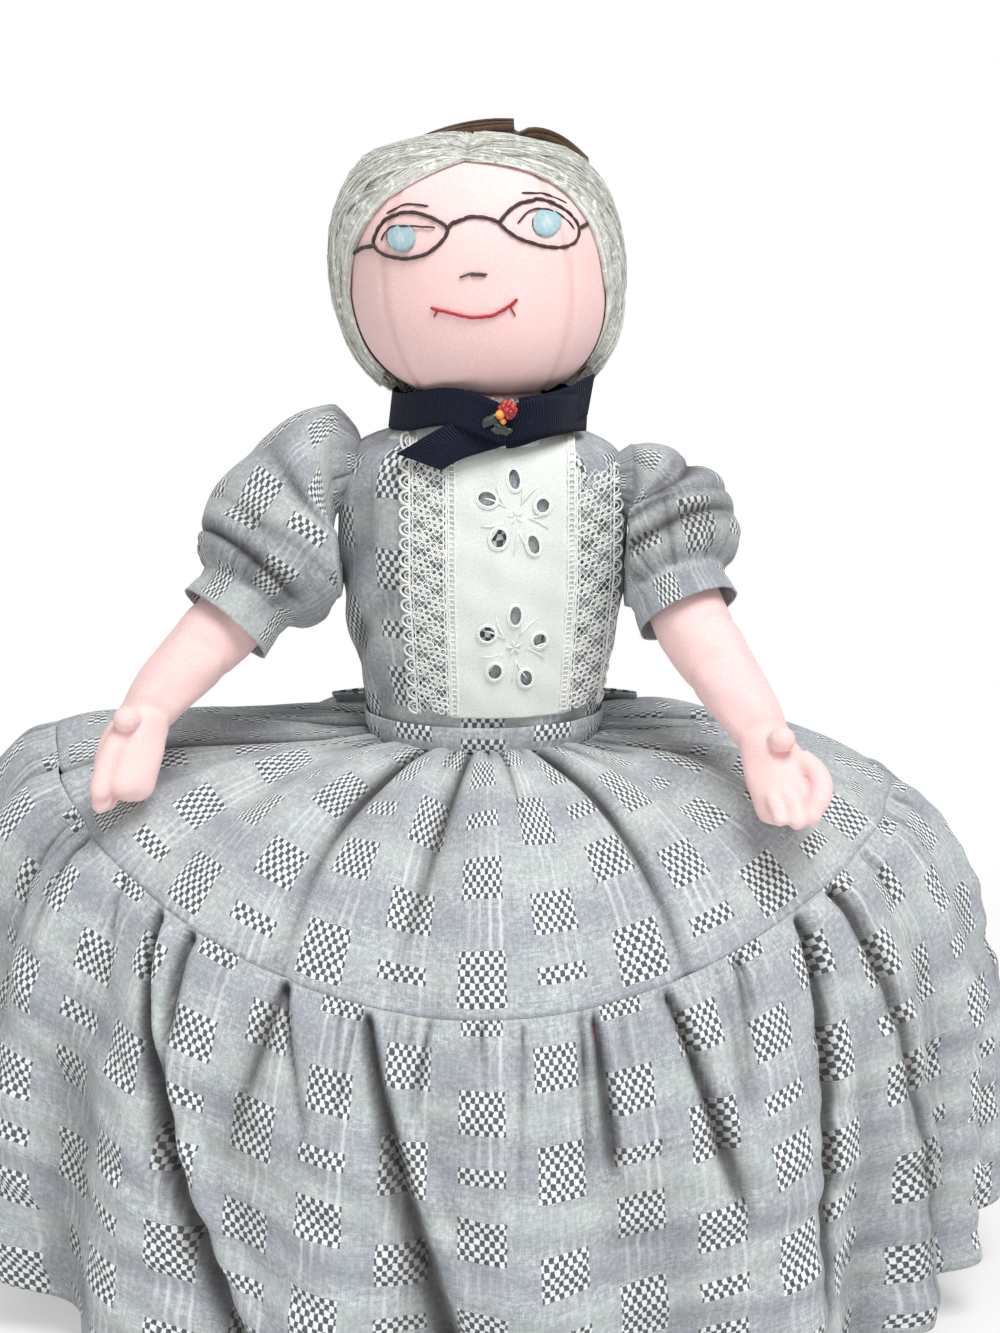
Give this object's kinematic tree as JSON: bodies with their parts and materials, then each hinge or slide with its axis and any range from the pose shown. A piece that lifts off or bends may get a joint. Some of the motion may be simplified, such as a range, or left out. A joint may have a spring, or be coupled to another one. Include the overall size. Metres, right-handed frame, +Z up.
{
  "type": "topsy-turvy doll",
  "caption": "Stuffed cloth topsy-turvy doll: a grandmother half above a gathered tiered skirt that hides a girl half sewn upside down below the waist.",
  "frame": {"origin": "on the floor under the middle of the skirt", "axes": "+Z up from the floor through the waist to the grandmother's head, -Y the way both half dolls face, +X the grandmother's left hand"},
  "size_m": [0.3652, 0.2612, 0.4025],
  "materials": {
    "skin_cotton": "plain woven cotton over fibre stuffing",
    "dress_cotton": "grey woven dress cotton with small woven blocks",
    "eyelet_cotton": "white cotton with stitched eyelets",
    "lace_cotton": "white cotton lace",
    "grosgrain": "ribbed navy ribbon",
    "grey_yarn": "silver grey yarn",
    "brown_felt": "brown felt",
    "chestnut_yarn": "chestnut yarn",
    "dark_thread": "dark embroidery thread",
    "red_thread": "red embroidery thread",
    "blue_thread": "pale blue embroidery thread",
    "red_glass": "polished red bead",
    "amber_glass": "polished amber bead",
    "green_glass": "polished dark green leaf bead",
    "calico": "rose red calico"
  },
  "bodies": {
    "doll_body": {"gran_torso": "skin_cotton", "gran_neck": "skin_cotton", "gran_bodice": "dress_cotton", "gran_waistband": "dress_cotton", "bib_panel": "eyelet_cotton", "bib_lace_right": "lace_cotton", "bib_lace_left": "lace_cotton", "neck_ribbon": "grosgrain", "ribbon_tail": "grosgrain", "brooch_berry": "red_glass", "brooch_bead": "amber_glass", "brooch_leaf_upper": "green_glass", "brooch_leaf_lower": "green_glass", "waist_bow": "dress_cotton", "skirt_upper_tier": "dress_cotton", "skirt_lower_tier": "dress_cotton", "skirt_lining": "calico", "girl_torso": "skin_cotton", "girl_neck": "skin_cotton", "girl_bodice": "calico", "girl_waistband": "calico", "girl_collar": "eyelet_cotton"},
    "gran_head": {"gran_head": "skin_cotton", "gran_hair": "grey_yarn", "hair_bow_knot": "brown_felt", "hair_bow_loop_right": "brown_felt", "hair_bow_loop_left": "brown_felt", "spectacles": "dark_thread", "gran_iris_right": "blue_thread", "gran_iris_left": "blue_thread", "gran_brow_right": "dark_thread", "gran_brow_left": "dark_thread", "gran_nose_stitch": "dark_thread", "gran_mouth_stitch": "red_thread"},
    "gran_right_arm": {"gran_arm_right": "skin_cotton", "gran_thumb_right": "skin_cotton", "gran_sleeve_right": "dress_cotton"},
    "gran_left_arm": {"gran_arm_left": "skin_cotton", "gran_thumb_left": "skin_cotton", "gran_sleeve_left": "dress_cotton"},
    "girl_head": {"girl_head": "skin_cotton", "girl_hair": "chestnut_yarn", "girl_bun": "chestnut_yarn", "girl_iris_right": "blue_thread", "girl_iris_left": "blue_thread", "girl_mouth_stitch": "red_thread"},
    "girl_right_arm": {"girl_arm_right": "skin_cotton", "girl_sleeve_right": "calico"},
    "girl_left_arm": {"girl_arm_left": "skin_cotton", "girl_sleeve_left": "calico"},
    "skirt_hem": {"skirt_hem": "calico"}
  },
  "joints": [
    {"name": "gran_head_turn", "type": "hinge", "parent": "doll_body", "child": "gran_head", "pos_m": [0, 0, 0.314], "axis": [0, 0, 1], "range_deg": [-30, 30], "stiffness_Nm_per_rad": 0.05},
    {"name": "gran_right_arm_raise", "type": "hinge", "parent": "doll_body", "child": "gran_right_arm", "pos_m": [-0.04931, 0, 0.2895], "axis": [-1, 0, 0], "range_deg": [0, 100]},
    {"name": "gran_left_arm_raise", "type": "hinge", "parent": "doll_body", "child": "gran_left_arm", "pos_m": [0.04931, 0, 0.2895], "axis": [-1, 0, 0], "range_deg": [0, 100]},
    {"name": "girl_head_turn", "type": "hinge", "parent": "doll_body", "child": "girl_head", "pos_m": [0, 0, 0.0845], "axis": [0, 0, 1], "range_deg": [-30, 30], "stiffness_Nm_per_rad": 0.05},
    {"name": "girl_right_arm_swing", "type": "hinge", "parent": "doll_body", "child": "girl_right_arm", "pos_m": [0.04931, 0, 0.1011], "axis": [1, 0, 0], "range_deg": [-35, 35]},
    {"name": "girl_left_arm_swing", "type": "hinge", "parent": "doll_body", "child": "girl_left_arm", "pos_m": [-0.04931, 0, 0.1011], "axis": [1, 0, 0], "range_deg": [-35, 35]},
    {"name": "skirt_lift", "type": "slide", "parent": "doll_body", "child": "skirt_hem", "axis": [0, 0, 1], "range_m": [0, 0.11], "deforming": ["skirt_upper_tier", "skirt_lower_tier", "skirt_lining"]}
  ]
}
